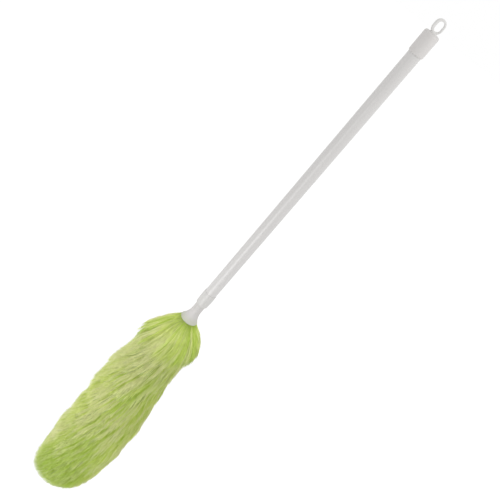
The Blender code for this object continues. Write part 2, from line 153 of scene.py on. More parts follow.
class Web:
    def __init__(self, tree):
        self.tree = tree

    def feed(self, socket, value):
        if isinstance(value, Wire):
            self.tree.links.new(value.socket, socket)
        else:
            socket.default_value = value

    def node(self, kind, settings=None, values=None, output=0):
        made = self.tree.nodes.new("ShaderNode" + kind)
        for word, value in (settings or {}).items():
            setattr(made, word, value)
        for key, value in (values or {}).items():
            self.feed(made.inputs[key], value)
        return Wire(self, made.outputs[output])

    def seenRays(self):  # 1 for what is seen straight, mirrored or through something
        path = self.node("LightPath", output="Is Camera Ray")
        return path + path.beside("Is Glossy Ray") + path.beside("Is Transmission Ray")


class Finish(Web):
    def __init__(self, name, roughness=0.5, metallic=0.0, **constants):
        self.material = bpy.data.materials.new(name)
        self.material.use_nodes = True
        super().__init__(self.material.node_tree)
        self.shader = self.tree.nodes["Principled BSDF"]
        self.set("Roughness", roughness)
        self.set("Metallic", metallic)
        for words, value in constants.items():
            self.set(words.replace("_", " "), value)
        self.place = None

    def set(self, word, value):
        self.feed(self.shader.inputs[word], value)

    def objectPlace(self):
        if self.place is None:
            self.place = self.node("TexCoord", output="Object")
        return self.place

    def noise(self, size, detail=2.0, stretch=(1.0, 1.0, 1.0)):
        # size is the width of the grain, and stretch how much longer it is each way
        scales = [1.0 / size / along for along in stretch]
        place = self.node("Mapping", None, {0: self.objectPlace(), 3: scales})
        values = {"Vector": place, "Scale": 1.0, "Detail": detail}
        return self.node("TexNoise", None, values)

    def blend(self, share, first, second):
        values = {0: share, 6: first, 7: second}
        return self.node("Mix", {"data_type": "RGBA"}, values, 2)

    def height(self):
        return self.node("SeparateXYZ", None, {0: self.objectPlace()}, 2)

    def bump(self, wave, depth, strength):
        values = {"Strength": strength, "Distance": depth, "Height": wave}
        self.set("Normal", self.node("Bump", None, values))


def shaded(colour, factor):
    return tuple(min(1.0, part * factor) for part in colour) + (1.0,)


def plasticFinish(name, colour, roughness, grain=0.35 * mm, scuffs=0.03):
    # moulded plastic: fine spark grain, slow flow marks and a few dull scuffs
    finish = Finish(name, roughness, Specular_IOR_Level=0.45)
    flow = finish.noise(9.0 * mm, 3.0, (1.0, 1.0, 2.5))
    colourWave = finish.blend(flow, shaded(colour, 0.975), shaded(colour, 1.02))
    speck = finish.noise(1.1 * mm, 4.0).ramp(0.66, 0.78)
    finish.set("Base Color", finish.blend(speck * scuffs, colourWave, shaded(colour, 0.70)))
    rubbed = finish.noise(14.0 * mm, 4.0).ramp(0.48, 0.72)
    finish.set("Roughness", roughness + 0.10 * rubbed + 0.05 * flow)
    finish.bump(finish.noise(grain, 2.0) + 0.8 * flow, 0.02 * mm, 0.6)
    return finish


def coatingFinish():
    # smooth coating on drawn steel: faint long lines, orange peel and hand wear
    colour = (0.655, 0.642, 0.631)
    finish = Finish("poleCoating", 0.28, Specular_IOR_Level=0.5)
    lines = finish.noise(0.7 * mm, 2.0, (1.0, 1.0, 260.0))
    cloud = finish.noise(24.0 * mm, 3.0, (1.0, 1.0, 3.0))
    colourWave = finish.blend(cloud, shaded(colour, 0.985), shaded(colour, 1.012))
    colourWave = finish.blend(lines.ramp(0.60, 0.80) * 0.35, colourWave, shaded(colour, 0.93))
    speck = finish.noise(0.9 * mm, 3.0).ramp(0.70, 0.80)
    finish.set("Base Color", finish.blend(speck * 0.25, colourWave, shaded(colour, 0.80)))
    worn = finish.noise(18.0 * mm, 4.0, (1.0, 1.0, 2.0)).ramp(0.45, 0.75)
    finish.set("Roughness", 0.24 + 0.08 * worn + 0.06 * lines)
    finish.bump(finish.noise(1.6 * mm, 2.0) * 0.5 + lines * 0.3, 0.008 * mm, 0.5)
    return finish


def steelFinish(name, colour, roughness, along=(1.0, 1.0, 300.0)):
    # drawn steel: fine lines along the draw and slow stains
    finish = Finish(name, roughness, 1.0)
    lines = finish.noise(0.25 * mm, 2.0, along)
    stain = finish.noise(12.0 * mm, 3.0)
    drawn = finish.blend(lines, shaded(colour, 0.88), shaded(colour, 1.08))
    stained = shaded(colour, 0.85)
    finish.set("Base Color", finish.blend(stain.ramp(0.55, 0.75) * 0.3, drawn, stained))
    finish.set("Roughness", roughness - 0.06 + 0.16 * lines + 0.05 * stain)
    finish.bump(lines, 0.006 * mm, 0.5)
    return finish


def socketFinish():
    # the head socket's plastic, with a painted green reflection of the fibres near its mouth
    colour = (0.61, 0.590, 0.578)
    greenFibreReflection = (0.50, 0.54, 0.36, 1.0)
    reflectionReach = 14.0 * mm
    reflectionShare = 0.55
    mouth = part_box("head_socket")[0].z
    finish = plasticFinish("socketPlastic", colour, 0.43)
    base = Wire(finish, finish.shader.inputs["Base Color"].links[0].from_socket)
    near = 1.0 - (finish.height() - mouth).ramp(0.0, reflectionReach)
    # painted reflection: green from the fibres, strongest at the mouth and gone within the reach
    finish.set("Base Color", finish.blend(near * reflectionShare, base, greenFibreReflection))
    return finish


fibreTints = {
    "deep": (0.42, 0.52, 0.14, 1.0),
    "middle": (0.80, 0.90, 0.24, 1.0),
    "pale": (0.93, 0.96, 0.505, 1.0),
    "leaf": (0.53, 0.73, 0.08, 1.0),
}


def fibreFinish(tints):
    # red is how far along the strand, green the strand's tone and blue its lock's dye with painted
    # shade and light
    finish = Finish("limeFibre", 0.62, Specular_IOR_Level=0.15, Sheen_Weight=0.10)
    paint = finish.node("Attribute", {"attribute_name": "fibrePaint"})
    along, strand, lock = (
        finish.node("SeparateColor", None, {0: paint}, channel) for channel in range(3)
    )
    deepDyeAndShade = lock.ramp(0.35, 1.0)
    # deeper towards the roots, partly painted shade for roots deep in the pile
    colour = finish.blend(along.ramp(0.08, 0.45), tints["deep"], tints["middle"])
    colour = finish.blend((1.0 - strand.ramp(0.08, 0.42)) * 0.85, colour, tints["leaf"])
    # deeper where the lock's dye runs deep and where shade is painted
    colour = finish.blend(deepDyeAndShade * 0.80, colour, tints["leaf"])
    # paler towards the tips, partly painted light on the tips standing out
    paleness = (0.10 + 0.90 * along.ramp(0.22, 0.66)) * strand.ramp(0.32, 0.70)
    colour = finish.blend(paleness * (1.0 - 0.65 * deepDyeAndShade) * 0.95, colour, tints["pale"])
    # paler where the lock's dye is light and where light is painted
    paleDyeAndLight = (1.0 - lock.ramp(0.0, 0.35)) * along.ramp(0.20, 0.60)
    colour = finish.blend(paleDyeAndLight * 0.55, colour, tints["pale"])
    finish.set("Base Color", colour)
    finish.set("Roughness", 0.55 + 0.15 * strand)
    return finish


finishes = {
    "coating": coatingFinish(),
    "cap": plasticFinish("capPlastic", (0.662, 0.642, 0.628), 0.38),
    "loop": plasticFinish("loopPlastic", (0.730, 0.720, 0.705), 0.36),
    "collar": plasticFinish("collarPlastic", (0.635, 0.624, 0.608), 0.30),
    "socket": socketFinish(),
    "plug": plasticFinish("plugPlastic", (0.72, 0.72, 0.70), 0.45),
    "cam": plasticFinish("camPlastic", (0.05, 0.05, 0.05), 0.50),
    "glide": plasticFinish("glideNylon", (0.80, 0.79, 0.74), 0.35),
    "rod": plasticFinish("rodPlastic", (0.75, 0.75, 0.72), 0.50),
    "button": plasticFinish("buttonPlastic", (0.70, 0.72, 0.66), 0.45),
    "innerTube": steelFinish("innerTubeSteel", (0.46, 0.46, 0.47), 0.38),
    "pin": steelFinish("pinSteel", (0.62, 0.62, 0.63), 0.25, (200.0, 1.0, 1.0)),
    "binding": steelFinish("bindingSteel", (0.58, 0.58, 0.58), 0.30, (40.0, 40.0, 1.0)),
    "fibre": fibreFinish(fibreTints),
}
print("finishes mixed")


# Modelling moves, each on the one piece in hand

def letGo():
    if bpy.context.object and bpy.context.object.mode != "OBJECT":
        bpy.ops.object.mode_set(mode="OBJECT")
    bpy.ops.object.select_all(action="DESELECT")


def begin(primitive, **settings):
    # a new piece, started from one of Blender's plain meshes
    letGo()
    primitive(**settings)
    return bpy.context.object


def take(piece):
    # makes this the piece in hand
    letGo()
    piece.select_set(True)
    bpy.context.view_layer.objects.active = piece


def settle():
    bpy.ops.object.transform_apply(location=True, rotation=True, scale=True)


def edit():
    bpy.ops.object.mode_set(mode="EDIT")


def chooseAll():
    bpy.ops.mesh.select_all(action="SELECT")


def choose(test):
    # selects the vertices whose place passes the test
    bpy.ops.mesh.select_all(action="DESELECT")
    mesh = bmesh.from_edit_mesh(bpy.context.edit_object.data)
    for point in mesh.verts:
        point.select_set(test(point.co))
    mesh.select_flush(True)
    bmesh.update_edit_mesh(bpy.context.edit_object.data)


def extrude(along):
    bpy.ops.mesh.extrude_region_move(TRANSFORM_OT_translate={"value": along})


def closeShell():
    chooseAll()
    bpy.ops.mesh.remove_doubles(threshold=joinReach)
    bpy.ops.mesh.normals_make_consistent(inside=False)
    bpy.ops.object.mode_set(mode="OBJECT")
    settle()


def applyChange(piece, kind, **settings):
    change = piece.modifiers.new("change", kind)
    for word, value in settings.items():
        setattr(change, word, value)
    take(piece)
    bpy.ops.object.modifier_apply(modifier=change.name)


def combine(piece, other, operation):
    applyChange(piece, "BOOLEAN", operation=operation, solver="EXACT", object=other)
    bpy.data.objects.remove(other, do_unlink=True)


def turnOutline(name, outline, sides=96, hollow=True):
    # a circle drawn from ring to ring; a hollow outline ends on its first ring
    radius, height = outline[0]
    piece = begin(
        bpy.ops.mesh.primitive_circle_add, vertices=sides, radius=radius,
        location=(0.0, 0.0, height), fill_type="NOTHING" if hollow else "NGON",
    )
    piece.name = name
    edit()
    for nextRadius, nextHeight in outline[1:] + (outline[:1] if hollow else []):
        extrude((0.0, 0.0, nextHeight - height))
        share = nextRadius / radius
        centre = (0.0, 0.0, nextHeight)
        bpy.ops.transform.resize(value=(share, share, 1.0), center_override=centre)
        radius, height = nextRadius, nextHeight
    closeShell()
    return piece


def corner(radius, height, across, along, start, end, steps):
    # points on a quarter or half of an ellipse, in the radius and height plane
    points = []
    for step in range(steps + 1):
        angle = (start + (end - start) * step / steps) * degree
        points.append((radius + across * math.cos(angle), height + along * math.sin(angle)))
    return points


def tubeOutline(radius, wall, edge, top, end):
    bore = radius - wall
    return [
        (bore, top), (radius - edge, top), (radius, top - edge),
        (radius, end + edge), (radius - edge, end), (bore, end),
    ]


def smooth(piece, angle=35 * degree):
    take(piece)
    bpy.ops.object.shade_smooth_by_angle(angle=angle)


def finishPiece(piece, finish, body, slot, *nodes):
    piece.data.materials.clear()
    piece.data.materials.append(finishes[finish].material)
    piece.data.name = piece.name
    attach(piece, body)
    if nodes:
        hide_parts(*nodes)


# Pole: outer tube, end cap and collar
poleSizes = {
    "tubeWall": 0.5 * mm,
    "tubeEdge": 0.15 * mm,
    "capShoulder": 2.9 * mm,
    "capRim": 1.0 * mm,
    "capRimLength": 3.0 * mm,
    "capDraft": 0.06 * mm,  # how much narrower the cap is at its rim
    "capRise": 1.0 * mm,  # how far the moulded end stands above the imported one
    "capEndWall": 3.0 * mm,
    "capSpigotWall": 2.4 * mm,
    "capSpigotReach": 13.0 * mm,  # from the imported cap's end
    "stemBore": 2.8 * mm,
    "fitGap": 0.3 * mm,
    "collarGap": 0.05 * mm,
    "collarLip": 0.30 * mm,
    "collarBand": 1.9 * mm,  # the ring at the collar's rim
    "collarGroove": 0.16 * mm,
    "collarSwell": 0.30 * mm,  # how far the collar widens below its ring
    "collarSwellLength": 5.0 * mm,
    "collarNose": 2.6 * mm,
    "noseRadius": 10.0 * mm,
    "collarDraw": 3.0 * mm,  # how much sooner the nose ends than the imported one
}


def makeOuterTube(sizes):
    low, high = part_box("outer_tube")
    outline = tubeOutline(high.x, sizes["tubeWall"], sizes["tubeEdge"], high.z, low.z)
    tube = turnOutline("outer_tube_coated", outline)
    smooth(tube)
    finishPiece(tube, "coating", "pole", "pole_coating", "outer_tube")


def makeEndCap(sizes):
    low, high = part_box("end_cap")
    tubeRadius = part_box("outer_tube")[1].x
    radius = high.x
    top = high.z + sizes["capRise"]
    shoulder = sizes["capShoulder"]
    rim = sizes["capRim"]
    rimLength = sizes["capRimLength"]
    rimRadius = radius - sizes["capDraft"]
    gap = sizes["fitGap"]
    bore = tubeRadius + gap
    spigot = tubeRadius - sizes["tubeWall"] - gap
    spigotBore = spigot - sizes["capSpigotWall"]
    spigotEnd = high.z - sizes["capSpigotReach"]
    wall = high.z - sizes["capEndWall"]
    outline = [(sizes["stemBore"], top)]
    outline += corner(radius - shoulder, top - shoulder, shoulder, shoulder, 90, 0, 10)
    outline += corner(rimRadius - rim, low.z + rimLength, rim, rimLength, 0, -90, 8)
    outline += [
        (bore, low.z), (bore, wall), (spigot, wall), (spigot, spigotEnd),
        (spigotBore, spigotEnd), (spigotBore, wall), (sizes["stemBore"], wall),
    ]
    cap = turnOutline("end_cap_moulded", outline)
    smooth(cap)
    finishPiece(cap, "cap", "pole", "cap_plastic", "end_cap")


def makeCollar(sizes):
    low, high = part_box("collar")
    tubeLow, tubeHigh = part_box("outer_tube")
    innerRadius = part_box("inner_tube")[1].x
    gap = sizes["fitGap"]
    seat = tubeHigh.x + sizes["collarGap"]
    radius = high.x
    lip = sizes["collarLip"]
    groove = sizes["collarGroove"]
    band = high.z - sizes["collarBand"]
    ring = radius - sizes["collarSwell"]
    shoulder = tubeLow.z - gap
    nose = sizes["collarNose"]
    end = low.z + sizes["collarDraw"]
    bore = innerRadius + gap
    outline = [(seat, high.z)]
    outline += corner(ring - lip, high.z - lip, lip, lip, 90, 0, 5)
    outline += [
        (ring, band + groove), (ring - groove, band), (ring - groove, band - groove),
        (ring, band - 2 * groove), (radius, band - sizes["collarSwellLength"]), (radius, shoulder),
    ]
    outline += corner(bore, end + nose, sizes["noseRadius"] - bore, nose, 0, -90, 8)
    outline += [(bore, shoulder), (seat, shoulder)]
    collar = turnOutline("collar_moulded", outline)
    smooth(collar, angle=28 * degree)
    finishPiece(collar, "collar", "pole", "collar_plastic", "collar")


makeOuterTube(poleSizes)
makeEndCap(poleSizes)
makeCollar(poleSizes)
print("pole made")


# Hanging loop: a flat oval eye on a flange, with its stem through the cap
loopSizes = {
    "band": 3.1 * mm,
    "edge": 1.0 * mm,
    "edgeSteps": 5,
    "edgeAngle": 60 * degree,  # sharper edges than this are rounded
    "holeShift": (0.65 * mm, 0.0, -0.05 * mm),
    "holeShares": (0.98, 1.0, 1.04),  # the hole's width and length against an even band's
    "topDrop": 0.5 * mm,
    "sideDraw": 0.2 * mm,
    "thickness": 3.8 * mm,
    "flangeRadius": 5.6 * mm,
    "flangeFlat": 0.4,  # how much of its radius the face under the band starts with
    "flangeHeight": 1.0 * mm,
    "flangeEdge": 0.6 * mm,
    "flangeGap": 0.03 * mm,
    "stemRadius": 2.5 * mm,
    "barbRadius": 3.3 * mm,
    "barbTipRadius": 2.0 * mm,
    "slot": 1.2 * mm,
    "sides": 72,
    "stemSides": 48,
}


def makeHangingLoop(sizes):
    low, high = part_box("hanging_loop")
    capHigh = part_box("end_cap")[1].z
    foot = capHigh + poleSizes["capRise"] + sizes["flangeGap"]
    barbTop = capHigh - poleSizes["capEndWall"] - poleSizes["fitGap"]
    half = high.x - sizes["sideDraw"]
    thickness = sizes["thickness"]
    top = high.z - sizes["topDrop"]
    middle = (top + foot) / 2
    straight = (top - foot) / 2 - half
    centre = (0.0, -thickness / 2, middle)
    loop = begin(
        bpy.ops.mesh.primitive_circle_add, vertices=sizes["sides"], radius=half,
        fill_type="NGON", location=centre, rotation=(math.pi / 2, math.pi / sizes["sides"], 0.0),
    )
    loop.name = "hanging_loop_moulded"
    settle()
    edit()
    for side in (1, -1):
        choose(lambda place: (place.z - middle) * side > 0)
        bpy.ops.transform.translate(value=(0.0, 0.0, side * straight))
    chooseAll()
    bpy.ops.mesh.inset(thickness=sizes["band"])
    bpy.ops.transform.resize(value=sizes["holeShares"], center_override=centre)
    bpy.ops.transform.translate(value=sizes["holeShift"])
    bpy.ops.mesh.delete(type="FACE")
    chooseAll()
    extrude((0.0, thickness, 0.0))
    closeShell()
    applyChange(
        loop, "BEVEL", width=sizes["edge"], segments=sizes["edgeSteps"],
        limit_method="ANGLE", angle_limit=sizes["edgeAngle"],
    )
    edge = sizes["flangeEdge"]
    flange = sizes["flangeRadius"]
    brim = foot + sizes["flangeHeight"]
    stemOutline = [(sizes["flangeFlat"] * flange, brim)]
    stemOutline += corner(flange - edge, brim - edge, edge, edge, 90, 0, 4)
    stemOutline += [
        (flange, foot), (sizes["stemRadius"], foot), (sizes["stemRadius"], barbTop),
        (sizes["barbRadius"], barbTop), (sizes["barbTipRadius"], low.z),
    ]
    stem = turnOutline("loopStem", stemOutline, sizes["stemSides"], hollow=False)
    combine(loop, stem, "UNION")
    slot = begin(bpy.ops.mesh.primitive_cube_add, size=1.0)
    slot.scale = (sizes["slot"], 4 * sizes["barbRadius"], 2 * (capHigh - low.z))
    slot.location.z = low.z
    settle()
    combine(loop, slot, "DIFFERENCE")
    smooth(loop)
    finishPiece(loop, "loop", "loop", "loop_plastic", "hanging_loop")


makeHangingLoop(loopSizes)
print("loop made")


# Shaft: inner tube and head socket
shaftSizes = {
    "tubeWall": 0.5 * mm,
    "tubeEdge": 0.12 * mm,
    "tubeDraw": 2.7 * mm,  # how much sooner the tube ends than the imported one
    "pinRadius": 1.8 * mm,
    "pinSides": 48,
    "plugRadius": 7.2 * mm,
    "neckRadius": 8.0 * mm,
    "bellLength": 23.5 * mm,
    "bellWall": 1.4 * mm,
    "bellCavity": 16.0 * mm,
    "bellFlare": 2.1,
    "bellSteps": 22,
    "rodBore": 3.8 * mm,
}


def cutPinHole(piece, sizes):
    low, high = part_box("head_pin")
    middle = (low.z + high.z) / 2
    hole = begin(
        bpy.ops.mesh.primitive_cylinder_add, vertices=sizes["pinSides"],
        radius=sizes["pinRadius"], depth=4 * high.x,
        location=(0.0, 0.0, middle), rotation=(0.0, math.pi / 2, 0.0),
    )
    settle()
    combine(piece, hole, "DIFFERENCE")


def makeInnerTube(sizes):
    low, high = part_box("inner_tube")
    end = low.z + sizes["tubeDraw"]
    outline = tubeOutline(high.x, sizes["tubeWall"], sizes["tubeEdge"], high.z, end)
    tube = turnOutline("inner_tube_drawn", outline)
    cutPinHole(tube, sizes)
    smooth(tube)
    finishPiece(tube, "innerTube", "shaft", "inner_tube_steel", "inner_tube")


def makeHeadSocket(sizes):
    low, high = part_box("head_socket")
    neck = sizes["neckRadius"]
    mouth = high.x
    start = low.z + sizes["bellLength"]
    wall = sizes["bellWall"]
    cavity = low.z + sizes["bellCavity"]
    outside = []
    inside = []
    for step in range(sizes["bellSteps"] + 1):
        share = step / sizes["bellSteps"]
        z = start - sizes["bellLength"] * share
        radius = neck + (mouth - neck) * share ** sizes["bellFlare"]
        if share < 1.0:
            outside.append((radius, z))
        if cavity > z > low.z + wall / 2:
            inside.append((radius - wall, z))
    rim = corner(mouth - wall / 2, low.z + wall / 2, wall / 2, wall / 2, 0, -180, 8)
    plug = sizes["plugRadius"]
    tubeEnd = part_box("inner_tube")[0].z + sizes["tubeDraw"] - poleSizes["fitGap"]
    outline = [
        (sizes["rodBore"], high.z), (plug, high.z), (plug, tubeEnd), (neck, tubeEnd - neck + plug),
    ]
    outline += outside[:-1] + rim
    outline += inside[::-1]
    outline += [(neck - wall, cavity), (sizes["rodBore"], cavity)]
    socket = turnOutline("head_socket_moulded", outline)
    cutPinHole(socket, sizes)
    smooth(socket)
    finishPiece(socket, "socket", "shaft", "socket_plastic", "head_socket")


makeInnerTube(shaftSizes)
makeHeadSocket(shaftSizes)
for node, finish in (
    ("lock_plug", "plug"), ("lock_cam", "cam"), ("glide_ring", "glide"),
    ("head_pin", "pin"), ("core_rod", "rod"), ("skirt_binding", "binding"),
    ("tip_button", "button"),
):
    for place in frame["nodes"][node].material_slots:
        place.material = finishes[finish].material
print("shaft made")


# Fibre head. A run goes down the pole from the bell's mouth, an angle goes round it,
# and a lean is how far a strand points away from the pole.
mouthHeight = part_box("head_socket")[0].z
viewTurn = cameraPlace["turn"]

# Run, radius and sideways shift of the pile's outline, in millimetres
pileOutline = np.array((
    (0, 12.0, 0.3), (12, 20.0, 1.0), (24, 30.0, 3.2), (44, 39.0, 3.4),
    (60, 42.0, 0.4), (74, 44.2, -1.8), (90, 45.7, -2.4), (106, 47.6, -2.8),
    (124, 49.0, -3.4), (138, 50.0, -4.8), (150, 52.8, -4.9), (166, 55.0, -3.8),
    (190, 53.5, -3.7), (208, 57.1, -3.0), (220, 59.3, -3.5), (234, 57.6, 0.1),
    (250, 59.0, 0.6), (274, 59.2, 0.2), (300, 59.9, 0.7), (316, 58.8, 1.0),
    (334, 61.6, -1.3), (352, 60.3, -0.8), (370, 58.5, 0.0), (388, 56.6, -1.2),
    (404, 56.1, -1.6), (420, 54.4, -2.3), (434, 50.7, -7.4), (446, 43.1, -12.8),
    (455, 32.0, -18.5), (462, 12.0, -25.0),
))
# Run and radius of the skirt's outline, in millimetres
skirtOutline = np.array((
    (-8, 8.6), (0, 10.6), (8, 17.6), (18, 27.8), (30, 36.4),
    (44, 43.0), (60, 49.2), (74, 51.2), (92, 50.2),
))
# Deeper and paler places, partly in the dye and partly painted shade and light: run in millimetres,
# degrees round from the near side towards the picture's right, reach in millimetres and how much
# deeper
dyeAndShadePatches = (
    (16, -45, 30, 0.28), (18, 5, 24, 0.18), (38, 56, 36, 0.50), (52, -62, 24, 0.30),
    (50, -22, 26, -0.25), (100, -55, 45, -0.35), (118, -4, 46, -0.26), (120, 38, 32, 0.42),
    (172, 14, 36, 0.34), (180, -60, 60, -0.10), (230, 76, 56, -0.16), (255, 20, 44, 0.28),
    (335, 16, 46, 0.42), (380, 62, 50, -0.10), (424, 0, 52, 0.84), (415, -60, 36, 0.25),
)

dyeLevel = 0.40
dyeLockSpread = 0.30
patchRadius = 50.0  # the head's radius in millimetres, for the patches' reach round it

radiusScale = 55.0 * mm  # the head's radius for the streaks' slant
longest = pileOutline[-1, 0] * mm
skirtCover = 62.0 * mm  # down to here the pile stays inside the skirt
underSkirt = 4.0 * mm  # and at least this far inside it
tierCount = 6

fibres = {  # what the pile and the skirt share
    "strands": 3,
    "bunchWidth": 1.1 * mm,
    "strandAside": 0.4,
    "strandWidth": 0.60 * mm,
    "widthSpread": (0.75, 1.25),  # of the strands, as shares of their width
    "strayLift": 0.5 * mm,
}

pile = {
    **fibres,
    "seed": 11,
    "firstRun": 58.0 * mm,
    "ledges": (139.0 * mm, 203.0 * mm, 266.0 * mm, 330.0 * mm, 392.0 * mm),
    "ledgeShare": 0.45,  # of the locks close above a ledge end together there
    "ledgeReach": 24.0 * mm,
    "lockWidth": 17.0 * mm,
    "lockPitch": 13.0 * mm,
    "lockRoot": 0.80,  # how wide a lock's root is, as a share of its tip
    "lockSpread": 1.5,  # how wide its bunches lie, as a share of its width
    "lockLengths": (0.85, 1.2),
    "lockLift": 0.35 * mm,
    "liftSpread": (-0.7, 1.0),  # mean and spread, in lifts
    "ledgeLift": (2.2, 1.5),
    "ledgeEnds": (-7, 3),  # millimetres above and below a ledge
    "ringStart": 0.35,  # shares of the pitch
    "ringSpread": 0.4,
    "turnSpread": 0.3,
    "leastAround": 3,
    "bunches": 22,
    "bunchReach": 16.0 * mm,  # how far along the pole a lock's tips lie apart
    "strandReach": 1.8 * mm,
    "strayShare": 0.3,
    "strayRange": (-1.0, 3.0),
    "endGaps": (8.0 * mm, 0.5 * mm),  # that the tips keep from the pile's two ends
    "leastTurn": 9.0 * mm,  # least radius that a width across is turned into an angle at
    "leastRadius": 0.5 * mm,
    "ridge": 0.9 * mm,  # how far a pale streak stands over a deep one
    "bunchLift": 0.36 * mm,
    "strandLift": 0.36 * mm,
    "strandLength": 62.0 * mm,
    "tipLean": 21.0 * degree,
    "rootLean": 28.0 * degree,
    "leanSpread": 3.0 * degree,
    "strayLean": 0.5,
    "rootSpread": 0.6,  # the roots' lean spreads this share as much
    "closing": 0.35,  # how far the strands follow the outline where it narrows
    "fullRun": 300 * mm,
    "fullShare": 0.75,  # inside this share of the radius there, leans fade out
    "lengthShare": 0.92,  # no strand is longer than this share of its way
    "rootRun": 6.0 * mm,  # from here
    "swirl": -7.0 * degree,  # all strands lean this far round the pole
    "sweep": 9.0 * degree,  # and this far towards the picture's left
    "swaySpread": 2.3 * degree,
    "swayShares": (0.5, 0.7, 0.35),  # a lock's, a bunch's and a strand's own
    "rootSway": 0.4,
    "pathSteps": 16,
    "pathRadius": 0.3 * mm,
    "toneShares": (0.62, 0.25, 0.13),  # a streak's, a bunch's and a strand's own
    "strandCuts": (0.34, 0.64, 0.86),
    "strandFullness": (1.0, 0.92, 0.62),
    "lumps": 7,
    "lumpSize": 0.014,
    "lumpsAround": (1, 6),  # from the first to before the second, whole waves
    "lumpsAlong": (1.5, 5.0),  # waves down the head
    "streaksAround": 150,
    "streakRows": 9,
    "streakContrast": 1.5,
    "coreDepth": 10.0 * mm,
    "coreRadius": 3.0 * mm,  # at least
    "coreSides": 48,
    # the core's paint is painted shade: the roots' deep tint
    "coreShadePaint": (0.0, 0.5, 0.35, 1.0),
}


def outlineAt(table, run, column):
    return np.interp(run, table[:, 0] * mm, table[:, column] * mm)


def shiftAt(run):
    # how far the pile's middle lies off the pole's axis, to the picture's right
    shift = outlineAt(pileOutline, run, 2)
    return shift * math.cos(viewTurn), shift * math.sin(viewTurn)


def dyeAndShadeAt(angle, run, lockTone):
    # how deep the dye and painted shade are, from 0 to 1, with a little of the lock's own tone
    depth = dyeLevel + dyeLockSpread * (lockTone - 0.5)
    # some patches are painted shade and light: deeper at the hem's edge and the skirt's top left,
    # paler on the pile just below the hem
    for place, turned, reach, more in dyeAndShadePatches:
        aside = angle - viewTurn + math.pi / 2 - turned * degree
        aside = (aside + math.pi) % (2 * math.pi) - math.pi
        away = np.hypot(aside * patchRadius, run / mm - place) / reach
        depth = depth + more * np.exp(-away ** 2)
    return np.clip(depth, 0.0, 1.0)


def makeStreaks(rng, values):
    # a tone from 0 to 1 in long narrow streaks over angle and run
    around, rows = values["streaksAround"], values["streakRows"]
    table = rng.uniform(0.0, 1.0, (rows + 1, around))
    table[:, 0] = table[:, -1]

    def at(angle, run):
        column = (angle / (2 * math.pi) % 1.0) * (around - 1)
        row = np.clip(run / longest, 0.0, 1.0) * (rows - 0.001)  # just short of the last
        left, top = column.astype(int), row.astype(int)
        right = np.minimum(left + 1, around - 1)
        aside, down = column - left, row - top
        upper = table[top, left] * (1 - aside) + table[top, right] * aside
        lower = table[top + 1, left] * (1 - aside) + table[top + 1, right] * aside
        tone = upper * (1 - down) + lower * down
        return np.clip(0.5 + values["streakContrast"] * (tone - 0.5), 0.0, 1.0)

    return at


def makeLumps(rng, values):
    # a smooth uneven surface over angle and run
    count = values["lumps"]
    waves = [
        (rng.integers(*values["lumpsAround"]),
         rng.uniform(*values["lumpsAlong"]) * 2 * math.pi / longest,
         rng.uniform(0, 2 * math.pi))
        for _ in range(count)
    ]

    def at(angle, run):
        total = 0.0
        for turns, pitch, start in waves:
            total = total + np.cos(turns * angle + pitch * run + start)
        return values["lumpSize"] * total / math.sqrt(count)

    return at


def modelStrand(cuts, fullness):
    # a three-sided point, cut across and filled out at its cuts
    strand = begin(
        bpy.ops.mesh.primitive_cone_add, vertices=3, radius1=0.5, radius2=0.0, depth=1.0,
        location=(0.0, 0.0, 0.5), end_fill_type="NGON",
    )
    settle()
    edit()
    for height in cuts:
        chooseAll()
        bpy.ops.mesh.bisect(plane_co=(0.0, 0.0, height), plane_no=(0.0, 0.0, 1.0))
    for height, full in zip(cuts, fullness):
        choose(lambda place: abs(place.z - height) < joinReach)
        share = full / (1.0 - height)
        bpy.ops.transform.resize(value=(share, share, 1.0), center_override=(0.0, 0.0, height))
    closeShell()
    corners = np.array([point.co for point in strand.data.vertices])
    faces = [tuple(face.vertices) for face in strand.data.polygons]
    bpy.data.objects.remove(strand, do_unlink=True)
    levels = np.unique(corners[:, 2].round(4))
    level = np.array([np.argmin(abs(levels - z)) for z in corners[:, 2]])
    return {"corners": corners, "faces": faces, "levels": levels, "level": level}


def fill(items, word, values, kind=np.float32):
    items.foreach_set(word, np.asarray(values, kind).ravel())


def addBakeMap(mesh, strand, along, first, second, turns):
    # A layout on which strands of like paint lie together, for baked colours: tiles by
    # lock tone, the strand's tone across a tile and how far along it is up the tile.
    tiles = 8
    edge = 0.04  # free share round a tile
    strandShare = 1 / 48  # of a tile that a strand is wide
    rise = 0.02  # keeps a strand's third side from lying on the line of its root
    side = np.sign(strand["corners"][:, 0].round(3)) / 2 + 0.5
    tile = np.minimum((second * tiles * tiles).astype(int), tiles * tiles - 1)
    across = first * (1 - strandShare) + strandShare * side
    up = along * (1 - rise) + rise * (side == 0.5)
    x = (tile % tiles + edge + (1 - 2 * edge) * across) / tiles
    y = (tile // tiles + edge + (1 - 2 * edge) * up) / tiles
    layer = mesh.uv_layers.new(name="OFBake")
    fill(layer.data, "uv", np.stack([x, y], axis=2).reshape(-1, 2)[turns])


